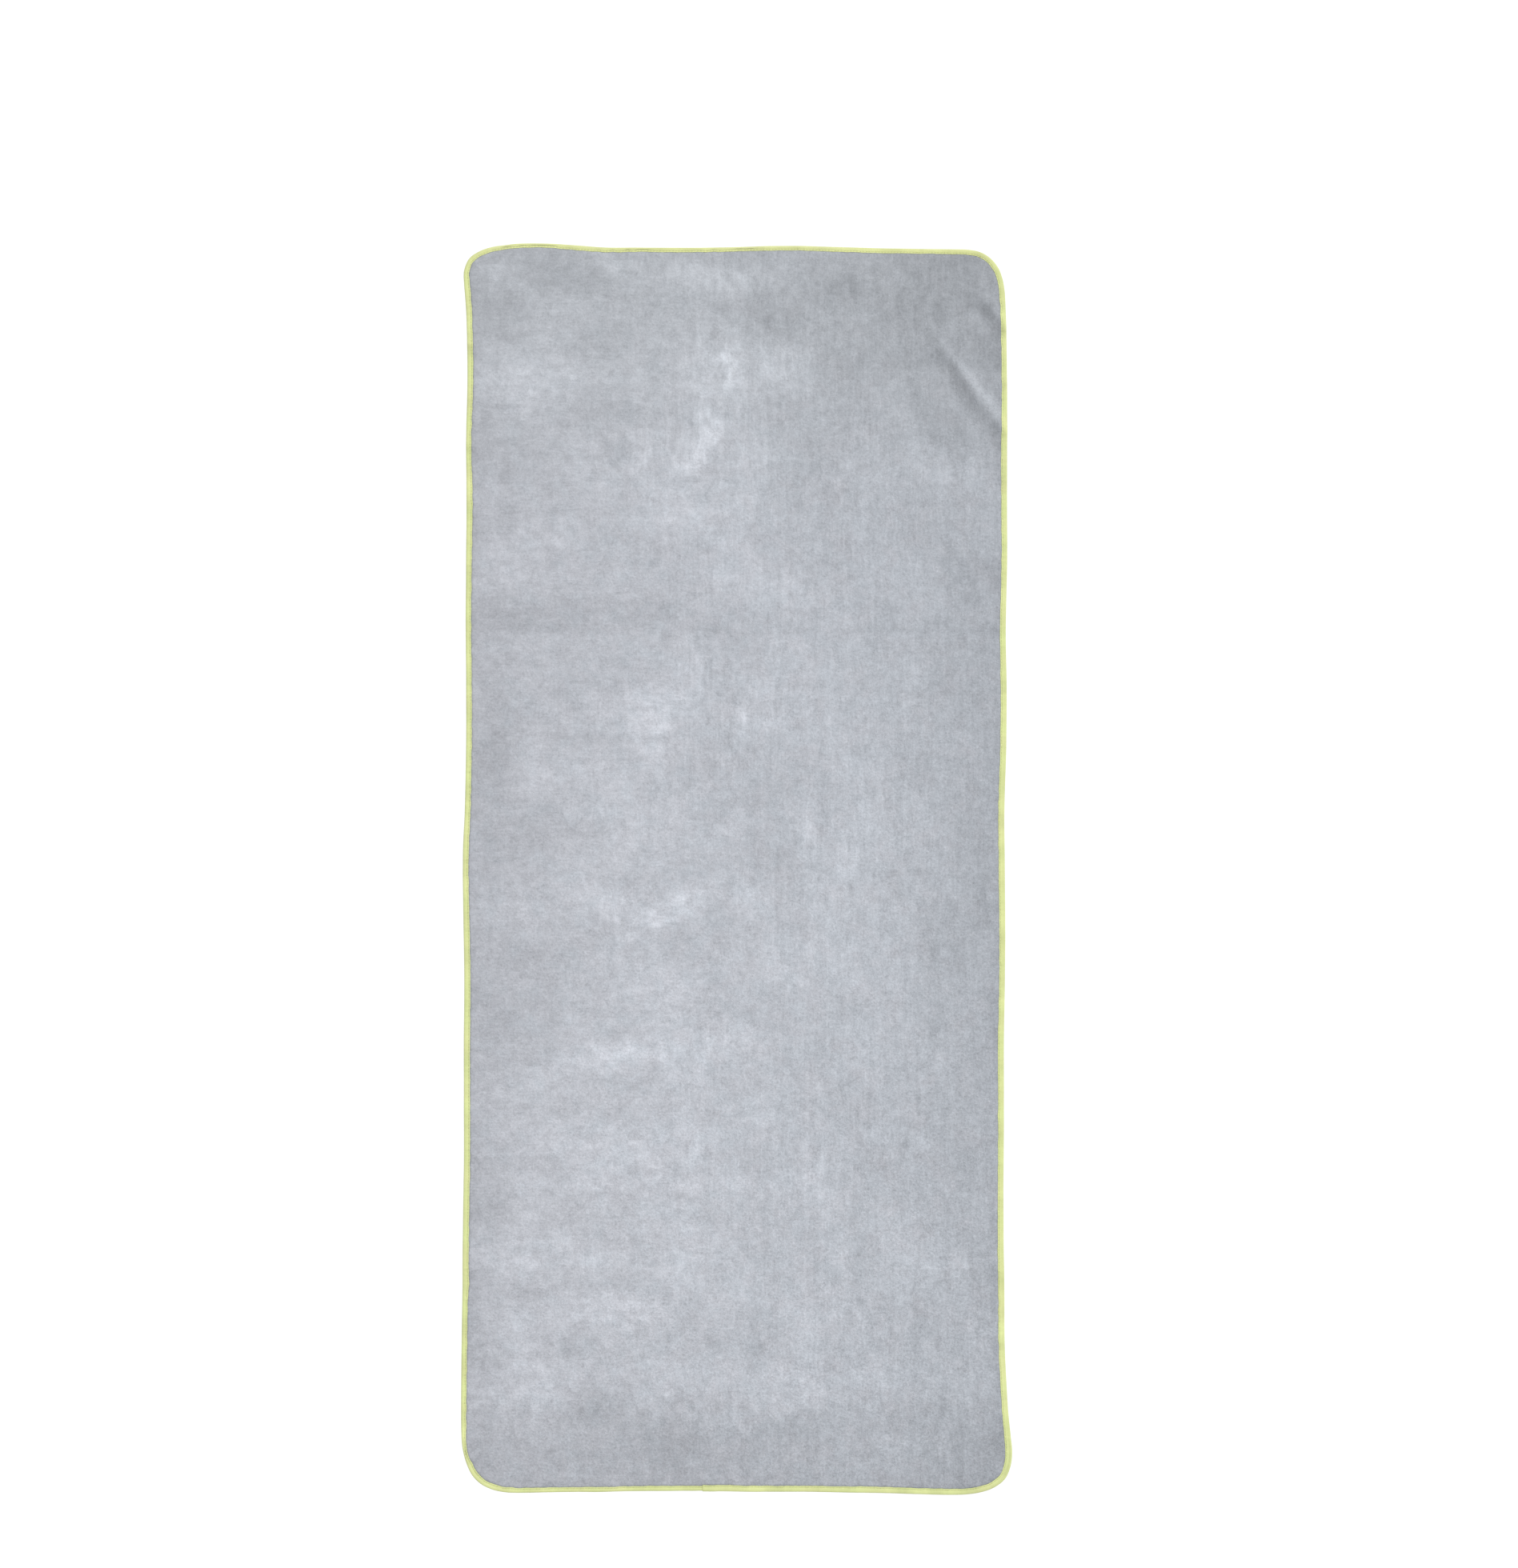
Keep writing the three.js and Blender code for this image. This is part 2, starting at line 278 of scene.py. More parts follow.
def ridge(x, y, x0, y0, x1, y1, half, height, bend, fade0, fade1):
    ux, uy = x1 - x0, y1 - y0
    long = math.hypot(ux, uy)
    u = ((x - x0) * ux + (y - y0) * uy) / long**2
    v = ((y - y0) * ux - (x - x0) * uy) / long - bend * 4 * u * (1 - u)
    ends = smooth((u + 0.12) / (fade0 + 0.12)) * smooth((1.12 - u) / (fade1 + 0.12))
    return height * np.exp(-0.5 * (v / half) ** 2) * ends


def lift(x, y, s, d):
    """How high the underside of the cloth stands off what it lies on."""
    near = np.clip(1 - (d / 74) ** 2, 0, 1) ** 3
    up = edge_lift(s) * near
    up = up + 1.25 * np.maximum(sample(UNDULATION, x, y) - 0.15, 0) ** 1.25
    up = up + 0.16 * (sample(SMALL_UNDULATION, x, y) + 1.6)
    for r in RIDGES:
        up = up + ridge(x, y, *r)
    shake = sample(CREASE_SHAKE, x, y)
    for at, height, half, way, tilt in CREASES:
        off = np.abs(y - at - tilt * x - 0.9 * shake) / half
        shape = np.exp(-off * 1.3) * (1 - 0.25 * np.exp(-((off / 0.12) ** 2))) if way > 0 else 1.7 * off * np.exp(-1.6 * off)
        up = up + height * (1 + 0.3 * shake) * shape
    pucker = 0.22 * wander(47, 10, 34, s) + 0.1 * wander(48, 6.5, 11, s)
    up = up + np.sqrt(pucker**2 + 0.02) * np.exp(-(((d - 6) / 10) ** 2))
    return np.clip(up, 0, None)


ROLL_FROM, ROLL_TO = 21.0, 7.0


def rolled(d, z, turn):
    """How far out and up a point of the cloth goes as its edge is rolled up by this angle, with the outside of the edge kept over the same line."""
    t = (np.arange(24) + 0.5) / 24

    def run(reach):
        bent = turn[:, None] * smooth(reach[:, None] * t / (ROLL_FROM - ROLL_TO))
        return reach * np.cos(bent).mean(1), reach * np.sin(bent).mean(1)

    reach = np.clip(ROLL_FROM - d, 0, None)
    out, up = run(reach)
    here = turn * smooth(reach / (ROLL_FROM - ROLL_TO))
    full = run(np.full_like(d, ROLL_FROM))[0]
    keep = (ROLL_FROM - full - 0.55 * np.sin(turn)) * (1 - smooth((d - ROLL_FROM) / 45))
    return out - reach - z * np.sin(here) + keep, up + z * (np.cos(here) - 1)


def laid(s, d, z):
    """World places, in mm, of points of the cloth given in edge coordinates."""
    s, d, z = (np.asarray(a, float).ravel() for a in np.broadcast_arrays(s, d, z))
    p, n = on_edge(s)
    flat = p + n * d[:, None]
    out, up = rolled(d, z, edge_roll(s))
    height = lift(flat[:, 0], flat[:, 1], s, d)
    flat = flat - n * out[:, None]
    return np.column_stack([flat, MID + z + up + height])


_tree = KDTree(len(EDGE))
for _i, (_x, _y) in enumerate(EDGE):
    _tree.insert((_x, _y, 0), _i)
_tree.balance()


def near_edge(x, y):
    """(s, d) of points of the plan."""
    found = [_tree.find((a, b, 0)) for a, b in zip(x, y)]
    i = np.array([f[1] for f in found])
    return EDGE_S[i], np.array([f[2] for f in found])


def laid_plan(x, y, z):
    """World places of points of the cloth given in plan. z may depend on where they are."""
    s, d = near_edge(x, y)
    _, n = on_edge(s)
    out, up = rolled(d, z, edge_roll(s))
    height = lift(x, y, s, d)
    return np.column_stack([x - n[:, 0] * out, y - n[:, 1] * out, MID + z + up + height])


# ---- meshes ------------------------------------------------------------------------------------------------------
def mesh_object(name, points, faces, material, attributes=None):
    """A smooth mesh from places in mm and faces of three or more corners."""
    mesh = bpy.data.meshes.new(name)
    mesh.vertices.add(len(points))
    mesh.vertices.foreach_set("co", (np.asarray(points, float) * MM).astype(np.float32).ravel())
    sizes = np.array([len(f) for f in faces])
    mesh.loops.add(int(sizes.sum()))
    mesh.loops.foreach_set("vertex_index", np.concatenate([np.asarray(f, np.int32) for f in faces]))
    mesh.polygons.add(len(faces))
    mesh.polygons.foreach_set("loop_start", np.concatenate([[0], np.cumsum(sizes)[:-1]]).astype(np.int32))
    mesh.polygons.foreach_set("use_smooth", np.ones(len(faces), bool))
    mesh.update(calc_edges=True)
    mesh.validate()
    for key, values in (attributes or {}).items():
        mesh.attributes.new(key, "FLOAT", "POINT").data.foreach_set("value", np.asarray(values, np.float32))
    mesh.materials.append(material)
    made = bpy.data.objects.new(name, mesh)
    bpy.context.scene.collection.objects.link(made)
    return made


def strip(a, b, closed=True):
    """Quads between two rows of vertex numbers, row a on the right of row b as they run."""
    a2, b2 = (np.roll(a, -1), np.roll(b, -1)) if closed else (a[1:], b[1:])
    a1, b1 = (a, b) if closed else (a[:-1], b[:-1])
    return np.column_stack([a1, a2, b2, b1])


# ---- materials ---------------------------------------------------------------------------------------------------
class Nodes:
    """A material's node tree, with short names for what is used here."""

    def __init__(self, name):
        self.material = bpy.data.materials.new(name)
        self.material.use_nodes = True
        self.tree = self.material.node_tree
        self.tree.nodes.clear()
        self.out = self.tree.nodes.new("ShaderNodeOutputMaterial")

    def put(self, socket, value):
        if isinstance(value, bpy.types.NodeSocket):
            self.tree.links.new(value, socket)
        elif value is not None:
            socket.default_value = value

    def node(self, kind, inputs=None, **settings):
        made = self.tree.nodes.new(kind)
        for key, value in settings.items():
            setattr(made, key, value)
        for key, value in (inputs or {}).items():
            self.put(made.inputs[key], value)
        return made

    def math(self, operation, a, b=None, c=None, clamp=False):
        return self.node("ShaderNodeMath", {0: a, 1: b, 2: c}, operation=operation, use_clamp=clamp).outputs[0]

    def place(self):
        """The piece's own coordinates, in millimetres."""
        own = self.node("ShaderNodeTexCoord").outputs["Object"]
        return self.scaled(own, (1000, 1000, 1000))

    def scaled(self, vector, by):
        return self.node("ShaderNodeVectorMath", {0: vector, 1: by}, operation="MULTIPLY").outputs[0]

    def shifted(self, vector, by):
        return self.node("ShaderNodeVectorMath", {0: vector, 1: by}, operation="ADD").outputs[0]

    def attribute(self, name):
        return self.node("ShaderNodeAttribute", attribute_name=name).outputs["Fac"]

    def noise(self, vector, wavelength, detail=2.0, roughness=0.5, distortion=0.0, lacunarity=2.0):
        """Noise from -0.5 to 0.5 or so, on millimetres."""
        made = self.node(
            "ShaderNodeTexNoise",
            {"Vector": vector, "Scale": 1 / wavelength, "Detail": detail, "Roughness": roughness,
             "Distortion": distortion, "Lacunarity": lacunarity},
            noise_dimensions="3D",
        )
        return self.math("SUBTRACT", made.outputs["Fac"], 0.5)

    def range(self, value, low, high, to_low, to_high):
        return self.node(
            "ShaderNodeMapRange",
            {"Value": value, "From Min": low, "From Max": high, "To Min": to_low, "To Max": to_high},
            interpolation_type="SMOOTHSTEP",
        ).outputs["Result"]

    def mix(self, factor, a, b):
        made = self.node("ShaderNodeMix", {"Factor": factor}, data_type="RGBA")
        self.put(made.inputs[6], a)
        self.put(made.inputs[7], b)
        return made.outputs[2]

    def times(self, colour, value):
        """A colour made lighter or darker by a number."""
        colour = colour[:3] if isinstance(colour, tuple) else colour
        return self.node("ShaderNodeVectorMath", {0: colour, "Scale": value}, operation="SCALE").outputs[0]

    def bump(self, height, distance, strength=1.0, normal=None):
        made = self.node("ShaderNodeBump", {"Height": height, "Distance": distance, "Strength": strength})
        if normal is not None:
            self.put(made.inputs["Normal"], normal)
        return made.outputs["Normal"]

    def finish(self, **inputs):
        shader = self.node("ShaderNodeBsdfPrincipled")
        for key, value in inputs.items():
            self.put(shader.inputs[key.replace("_", " ")], value)
        self.tree.links.new(shader.outputs[0], self.out.inputs["Surface"])
        return self.material


def velour():
    """Brushed microfibre pile. The nap_and_painted_light attribute holds how the pile was left lying, stroke by stroke,
    with painted shade and highlight for the wrinkles, the creases and the seam beside the tape, and the nodes add the
    mottle, the rows of the ground cloth showing through it, and the grain of the fibre ends.
    """
    m = Nodes("velour")
    at = m.place()
    nap_and_painted_light, rows = m.attribute("nap_and_painted_light"), m.attribute("rows")
    sway = m.node("ShaderNodeTexNoise", {"Vector": at, "Scale": 1 / 34, "Detail": 2.0}).outputs["Color"]
    swayed = m.shifted(at, m.scaled(m.shifted(sway, (-0.5, -0.5, -0.5)), (9, 9, 0)))
    mottle = m.noise(swayed, 70, detail=1.6, roughness=1.0)
    tufts = m.noise(m.shifted(swayed, (311, 97, 5)), 12, detail=3.0, roughness=1.0)
    # rows of pile: up and down the towel in the middle and on the right, across it on the left
    upright = m.noise(m.scaled(swayed, (1, 0.16, 1)), 2.8, detail=1.5, roughness=0.8)
    upright_long = m.noise(m.scaled(m.shifted(swayed, (71, 13, 0)), (1, 0.055, 1)), 8.5, detail=2.0, roughness=0.9)
    level = m.noise(m.scaled(swayed, (0.16, 1, 1)), 2.8, detail=1.5, roughness=0.8)
    level_long = m.noise(m.scaled(m.shifted(swayed, (19, 53, 0)), (0.09, 1, 1)), 8.5, detail=2.0, roughness=0.9)
    up_share = m.math("ADD", m.math("MULTIPLY", rows, 0.75), 0.25)
    across_share = m.math("SUBTRACT", 1.0, m.math("MULTIPLY", rows, 0.8))
    up_rows = m.math("MULTIPLY", m.math("ADD", upright, m.math("MULTIPLY", upright_long, 1.5)), up_share)
    across_rows = m.math("MULTIPLY", m.math("ADD", level, m.math("MULTIPLY", level_long, 1.2)), across_share)
    # fibre ends catch more light toward the foot and the right
    axes = m.node("ShaderNodeSeparateXYZ", {0: at}).outputs
    glint = m.math("MULTIPLY_ADD", axes["X"], 0.0006, m.math("MULTIPLY_ADD", axes["Y"], -0.0005, 0.94))
    grain = m.math("MULTIPLY", m.noise(at, 2.7, detail=1.0, roughness=1.0), glint)
    fibre = m.noise(m.scaled(m.shifted(swayed, (5, 3, 1)), (1, 0.45, 1)), 0.8, detail=1.0, roughness=0.8)
    tone = m.math("MULTIPLY_ADD", mottle, 0.17, 1.0)
    fleck = m.range(m.noise(m.shifted(swayed, (7, 41, 3)), 7.5, detail=1.5, roughness=0.7), 0.13, 0.27, 0.0, 1.0)
    for layer, share in ((tufts, 0.66), (up_rows, 0.17), (across_rows, 0.12), (grain, 0.40), (fibre, 0.2), (fleck, -0.045)):
        tone = m.math("MULTIPLY_ADD", layer, share, tone)
    tone = m.math("MULTIPLY", tone, nap_and_painted_light)
    dye = m.noise(m.shifted(at, (503, 11, 0)), 30, detail=3.0, roughness=0.8)
    hue = m.range(m.math("MULTIPLY_ADD", axes["X"], -0.00045, dye), -0.2, 0.2, 0.0, 1.0)
    dyed = m.mix(m.range(axes["Y"], 330.0, 700.0, 0.0, 0.7), m.mix(hue, VELOUR_COOL, VELOUR_WARM), VELOUR_HEAD)
    colour = m.times(dyed, tone)
    pile = m.math("MULTIPLY_ADD", m.math("ADD", up_rows, across_rows), 0.6, m.math("MULTIPLY", tufts, 1.6))
    pile = m.math("MULTIPLY_ADD", grain, 0.9, m.math("MULTIPLY_ADD", fibre, 0.25, pile))
    return m.finish(
        Base_Color=colour, Roughness=0.92, Specular_IOR_Level=0.12, Sheen_Weight=0.22, Sheen_Roughness=0.45,
        Sheen_Tint=(0.86, 0.9, 1.0, 1.0), Normal=m.bump(pile, 0.0007, 0.5),
    )


def tape():
    """Matt woven tape, with fine ribs across it, folded and pressed."""
    m = Nodes("binding_tape")
    at = m.place()
    along, across = m.attribute("along"), m.attribute("across")
    # the shade attribute: painted shade at the stitch holes, the fold, the inner edge and the creases, painted
    # highlight on the right and the head, and a random tone along the tape
    painted_light_and_tone = m.attribute("shade")
    path = m.node("ShaderNodeCombineXYZ", {"X": along, "Y": across, "Z": 0.0}).outputs[0]
    rib = m.math("SINE", m.math("MULTIPLY", along, 2 * math.pi / 0.85))
    thread = m.math("SINE", m.math("MULTIPLY", across, 2 * math.pi / 0.6))
    weave = m.math("ADD", m.math("MULTIPLY", rib, 0.6), m.math("MULTIPLY", thread, 0.4))
    slub = m.noise(m.scaled(path, (1.0, 0.22, 1)), 1.3, detail=2.0, roughness=0.6)
    cloud = m.noise(at, 22, detail=3.0, roughness=0.6)
    pull = m.noise(m.scaled(path, (0.15, 1.0, 1)), 1.6, detail=1.0)
    tone = m.math("MULTIPLY_ADD", cloud, 0.16, painted_light_and_tone)
    for layer, share in ((slub, 0.12), (pull, 0.07), (weave, 0.018)):
        tone = m.math("MULTIPLY_ADD", layer, share, tone)
    hue = m.range(m.noise(m.shifted(at, (90, 0, 0)), 30, detail=2.0), -0.22, 0.22, 0.0, 1.0)
    head = m.range(m.node("ShaderNodeSeparateXYZ", {0: at}).outputs["Y"], 640.0, 692.0, 0.0, 0.85)
    hue = m.math("MAXIMUM", hue, head)  # a little yellower along the head edge
    colour = m.times(m.mix(hue, TAPE_GREEN, TAPE_YELLOW), tone)
    height = m.math("MULTIPLY_ADD", weave, 0.5, m.math("MULTIPLY", slub, 1.2))
    return m.finish(
        Base_Color=colour, Roughness=0.78, Specular_IOR_Level=0.25, Sheen_Weight=0.12, Sheen_Roughness=0.5,
        Normal=m.bump(height, 0.00012, 0.6),
    )


def sewing_thread():
    """Spun polyester thread, two strands twisted together."""
    m = Nodes("sewing_thread")
    along, across = m.attribute("along"), m.attribute("across")
    twist = m.math("SINE", m.math("MULTIPLY_ADD", along, 2 * math.pi / 0.55, m.math("MULTIPLY", across, 2 * math.pi)))
    lint = m.noise(m.place(), 0.9, detail=2.0)
    tone = m.math("MULTIPLY_ADD", lint, 0.3, m.math("MULTIPLY_ADD", twist, 0.06, 0.98))
    return m.finish(
        Base_Color=m.times(THREAD, tone), Roughness=0.55, Specular_IOR_Level=0.4, Sheen_Weight=0.1,
        Normal=m.bump(twist, 0.00006, 0.7),
    )


def satin():
    """White satin label cloth, blank, with its cut ends sealed."""
    m = Nodes("label_satin")
    at = m.place()
    weft = m.math("SINE", m.math("MULTIPLY", m.node("ShaderNodeSeparateXYZ", {0: at}).outputs["Y"], 2 * math.pi / 0.35))
    float_ = m.noise(m.scaled(at, (1, 0.1, 1)), 0.5, detail=2.0)
    cloud = m.noise(at, 14, detail=2.0)
    tone = m.math("MULTIPLY_ADD", cloud, 0.08, m.math("MULTIPLY_ADD", float_, 0.1, m.attribute("shade")))
    height = m.math("ADD", m.math("MULTIPLY", weft, 0.4), float_)
    return m.finish(
        Base_Color=m.times(LABEL_WHITE, tone), Roughness=m.range(float_, -0.3, 0.3, 0.3, 0.5),
        Specular_IOR_Level=0.5, Normal=m.bump(height, 0.00005, 0.5),
    )


VELOUR_COOL, VELOUR_WARM = (0.421, 0.4465, 0.4875, 1.0), (0.432, 0.445, 0.4835, 1.0)
VELOUR_HEAD = (0.423, 0.4460, 0.4780, 1.0)
TAPE_GREEN, TAPE_YELLOW = (0.616, 0.679, 0.306, 1.0), (0.650, 0.681, 0.324, 1.0)
THREAD = (0.60, 0.65, 0.29, 1.0)
LABEL_WHITE = (0.82, 0.82, 0.79, 1.0)

# ---- the pile's lie ----------------------------------------------------------------------------------------------
# Soft strokes where the nap was brushed lighter or darker: x, y, half length, half width, angle, strength.
STROKES = [
    (-178, 663, 49, 10, -10, -0.132), (-133, 675, 9, 6, 0, 0.061), (-14, 662, 52, 13, -3, 0.151),
    (170, 658, 134, 27, 0, -0.143), (242, 633, 54, 43, 0, -0.055), (40, 615, 34, 25, 0, -0.132),
    (125, 649, 13, 13, 0, -0.066), (152, 597, 68, 34, 0, -0.121), (-265, 671, 16, 8, 0, 0.04),
    (-265, 615, 25, 18, 0, -0.077), (-242, 545, 43, 22, 0, 0.091), (-148, 602, 23, 13, 0, -0.088),
    (-162, 562, 34, 16, 0, 0.04), (-25, 560, 29, 36, 0, 0.121), (-5, 562, 23, 12, 90, 0.061),
    (49, 559, 30, 23, 0, 0.081), (-41, 472, 32, 12, 47, 0.182), (-25, 501, 18, 11, 90, 0.091),
    (-97, 463, 27, 18, 0, 0.061), (-137, 470, 12, 12, 0, -0.121), (-242, 463, 54, 27, 0, -0.055),
    (-271, 479, 13, 7, 0, -0.066), (-269, 443, 13, 7, 0, -0.066), (26, 463, 30, 17, 90, 0.061),
    (116, 436, 81, 90, 0, -0.055), (224, 503, 32, 18, -45, -0.088), (-52, 400, 39, 22, 0, 0.081),
    (-77, 396, 20, 14, 90, 0.03), (13, 418, 56, 10, 90, 0.061), (-256, 400, 11, 11, 0, -0.088),
    (-199, 378, 12, 11, 0, 0.071), (-263, 330, 27, 25, 0, 0.081), (-119, 327, 23, 8, -42, 0.061),
    (-180, 285, 112, 17, 0, -0.099), (-238, 293, 32, 11, 0, -0.044), (9, 315, 67, 32, 0, 0.05),
    (251, 327, 39, 20, 0, -0.077), (235, 277, 13, 8, 0, -0.088), (9, 225, 67, 32, 0, 0.04),
    (-108, 182, 56, 17, 0, 0.111), (-106, 145, 32, 21, 90, 0.101), (-90, 164, 13, 9, 0, 0.05),
    (-52, 221, 38, 11, 90, 0.071), (17, 163, 38, 13, 0, 0.081), (-269, 158, 47, 19, 90, -0.088),
    (-220, 109, 56, 13, 90, 0.02), (181, 163, 34, 18, 80, 0.03), (251, 167, 99, 32, 90, -0.044),
    (262, 46, 39, 18, 90, -0.077), (-233, 46, 52, 29, 0, -0.088), (-130, 46, 54, 30, 0, 0.04),
    (-5, 42, 38, 14, 90, 0.061), (82, 60, 39, 8, 90, 0.081), (143, 15, 49, 30, 0, 0.04),
    (-157, -30, 41, 14, -18, 0.071), (-130, -48, 54, 22, 0, 0.071), (-65, -37, 38, 13, 33, 0.162),
    (15, -32, 22, 13, 90, 0.101), (107, -26, 67, 23, 0, 0.04), (233, -57, 45, 36, 90, -0.044),
    (273, -39, 20, 10, 90, -0.088), (-238, -124, 50, 50, 0, -0.066), (-242, -93, 23, 13, 0, -0.044),
    (-259, -173, 14, 13, 0, -0.055), (-205, -164, 25, 9, 90, -0.055), (-229, -129, 16, 9, 0, 0.05),
    (-95, -133, 41, 32, 0, 0.071), (-95, -147, 20, 13, 90, 0.03), (49, -115, 34, 16, 0, 0.04),
    (134, -106, 30, 25, 0, 0.04), (215, -160, 25, 12, 90, -0.055), (242, -120, 63, 8, 90, -0.033),
    (270, -254, 117, 20, 90, -0.033), (-133, -208, 45, 11, 3, 0.172), (-18, -191, 56, 18, 0, 0.081),
    (7, -191, 8, 11, 0, 0.05), (-50, -225, 27, 11, 0, 0.091), (-226, -245, 32, 20, 0, 0.03),
    (219, -254, 9, 11, 0, -0.066), (-226, -294, 30, 25, 0, 0.04), (-121, -314, 59, 25, 0, 0.081),
    (-54, -308, 36, 9, 90, 0.061), (94, -321, 41, 16, 90, 0.061), (-268, -378, 20, 18, 0, -0.088),
    (-208, -398, 10, 12, 0, -0.11), (-233, -381, 23, 10, 20, 0.061), (-220, -433, 59, 18, 0, 0.101),
    (-162, -442, 13, 11, 0, 0.04), (-233, -449, 7, 5, 0, -0.077), (-68, -449, 25, 12, 0, 0.081),
    (-108, -398, 39, 27, 0, 0.04), (136, -415, 47, 8, 90, -0.066), (170, -398, 22, 13, 90, 0.03),
    (242, -442, 14, 11, 0, 0.061), (-238, -478, 16, 6, 0, -0.11), (-220, -505, 16, 11, 0, 0.061),
    (-121, -492, 39, 14, 0, 0.131), (-126, -523, 22, 20, 0, 0.061), (-185, -539, 8, 12, 0, -0.11),
    (19, -527, 23, 8, 90, -0.066), (33, -496, 22, 5, 90, 0.04), (-233, -572, 45, 23, 0, 0.071),
    (-214, -572, 13, 11, 0, 0.03), (-92, -579, 27, 18, 90, 0.061), (85, -581, 15, 12, 0, 0.071),
    (31, -584, 47, 20, 0, 0.02), (-54, -653, 54, 20, 0, -0.055), (264, -650, 20, 22, 0, -0.033),
    (-166, -596, 27, 13, 0, -0.066), (152, -614, 81, 13, 0, -0.033), (215, 443, 22, 13, 0, 0.04),
    (259, 457, 13, 11, 90, 0.061), (-27, -102, 63, 36, 0, 0.03), (-18, -263, 54, 36, 0, 0.02),
    (-198, 230, 54, 22, 0, -0.022), (98, 194, 54, 36, 0, 0.01), (-198, -353, 81, 9, 0, 0.05),
    (-36, -353, 81, 8, 0, 0.061), (-36, -406, 108, 63, 0, 0.03), (-108, -281, 99, 54, 0, 0.02),
    (246, -644, 36, 23, 0, -0.022), (-157, 508, 54, 13, 0, -0.044), (98, 508, 63, 54, 0, -0.044),
    (206, 553, 36, 27, 0, -0.055), (-251, -629, 36, 8, 0, 0.03), (-198, -605, 14, 9, 0, 0.04),
    (-14, -614, 20, 8, 0, 0.04), (-81, -644, 18, 13, 0, -0.033), (35, -640, 45, 11, 0, -0.022),
    (264, 588, 14, 32, 90, -0.055), (215, -514, 54, 23, 90, -0.022), (-233, 185, 36, 18, 0, -0.033),
    (284, 575, 30, 11, 90, -0.088), (277, 626, 16, 8, -50, -0.088), (197, 638, 36, 11, -20, -0.044),
    (165, 588, 22, 16, 0, 0.03), (246, 476, 27, 14, -40, -0.022), (-269, -39, 32, 16, 0, 0.05),
    (-277, 553, 22, 23, 0, 0.05), (58, 557, 27, 23, 0, 0.05), (-41, 553, 25, 34, 0, 0.04),
    (-14, 445, 81, 40, 90, 0.03), (17, 160, 40, 18, 0, 0.03), (255, 660, 45, 23, 0, 0.03),
    (-276, 680, 13, 16, 0, 0.061), (-214, 685, 30, 7, 0, -0.055), (-232, 672, 20, 7, 0, 0.04),
    (-144, 678, 27, 11, -35, 0.04), (-207, 651, 27, 9, -20, -0.055), (179, -191, 59, 39, 0, -0.022),
    (206, -644, 72, 30, 0, 0.04), (4, 279, 242, 81, 0, -0.022), (-68, 566, 170, 41, 0, 0.01),
    (183, 42, 63, 134, 0, -0.011), (206, -505, 72, 99, 0, 0.01),
]
SWAY_X, SWAY_Y = clouds(61, 18, 90), clouds(62, 18, 90)
MOTTLE, BREAK_UP, BREAK_LEVEL = clouds(63, 60, 320), clouds(64, 9, 60, 0.4, 1.0), clouds(66, 9, 60, 1.0, 0.4)
UNDER_MOTTLE = clouds(65, 24, 320)


def pile_tone_and_painted_light(x, y, s, d):
    """How light the upper face looks, as a factor: the way that the pile was left lying, with painted shade and
    highlight for the wrinkles, the creases and the seam beside the tape, and a broad tone across the towel.
    """
    wx, wy = x + 3.6 * sample(SWAY_X, x, y), y + 3.6 * sample(SWAY_Y, x, y)
    share = row_share(x, y)
    brushed = sample(BREAK_UP, x, y) * (0.3 + 0.7 * share) + sample(BREAK_LEVEL, x, y) * (1 - 0.7 * share)
    torn = 1 + 0.28 * brushed
    tone = 0.0
    for cx, cy, long, wide, angle, strength in STROKES:
        c, k = math.cos(math.radians(angle)), math.sin(math.radians(angle))
        u, v = ((wx - cx) * c + (wy - cy) * k) / long, ((wy - cy) * c - (wx - cx) * k) / wide
        tone = tone + strength * torn * np.exp(-0.5 * (u * u + v * v) ** 1.35)
    tone = tone + 0.016 * sample(MOTTLE, x, y) + 0.012 * brushed
    # painted shade and highlight across the wrinkles at the top right
    for w in WRINKLE_PAINTED_LIGHT:
        tone = tone + ridge(x, y, *w)
    # broad tone: darker to the right, a little darker at the left, dark along the foot, and a little darker toward the
    # head
    tone = tone + 0.030 - 0.098 * smooth((wx - 120) / 165) - 0.05 * smooth((-wx - 225) / 70)
    foot = wy + 603 + 9 * np.sin(wx / 47 + 0.6) + 5 * np.sin(wx / 19 + 1) + 9 * sample(BREAK_UP, x, y)
    tone = tone - 0.118 * smooth(-foot / 46 + 0.5) - 0.05 * smooth((wy - 420) / 170)
    # painted shade along each crease, and beside the folds that stay down
    shake = sample(CREASE_SHAKE, x, y)
    for at, height, half, way, tilt in CREASES:
        off = y - at - tilt * x - 0.9 * shake
        painted_light_and_tone = np.clip(0.75 + 0.5 * sample(BREAK_UP, x, y), 0.1, 1.6)
        tone = tone - height * (0.050 if way < 0 else 0.022) * painted_light_and_tone * np.exp(-0.5 * ((off + 1.0 * way) / 2.1) ** 2)
        tone = tone - height * 0.022 * np.exp(-0.5 * ((off - 9) / 9) ** 2) * (way < 0)
    # painted shade in the seam beside the tape, where the pile is bent over, and a little darker for some way in from
    # it
    tone = tone - 0.10 * np.exp(-(((d - top_width(s) - 0.3) / 1.1) ** 2)) - 0.052 * np.exp(-(((d - 9) / 6.5) ** 2)) - 0.014 * np.exp(-(((d - 20) / 9) ** 2))
    return np.exp(tone)


def under_tone(x, y, s, d):
    # mottle, with painted shade in the seam beside the lower leg of the tape
    return np.exp(0.045 * sample(UNDER_MOTTLE, x, y) - 0.10 * np.exp(-(((d - under_width(s) - 0.3) / 1.1) ** 2)))


def row_share(x, y):
    """1 where the rows of pile run up the towel, and 0 where they run across it."""
    wave = sample(MOTTLE, -x, -y)
    return smooth((x + 130 + 60 * wave + 0.05 * (y + 100)) / 150)


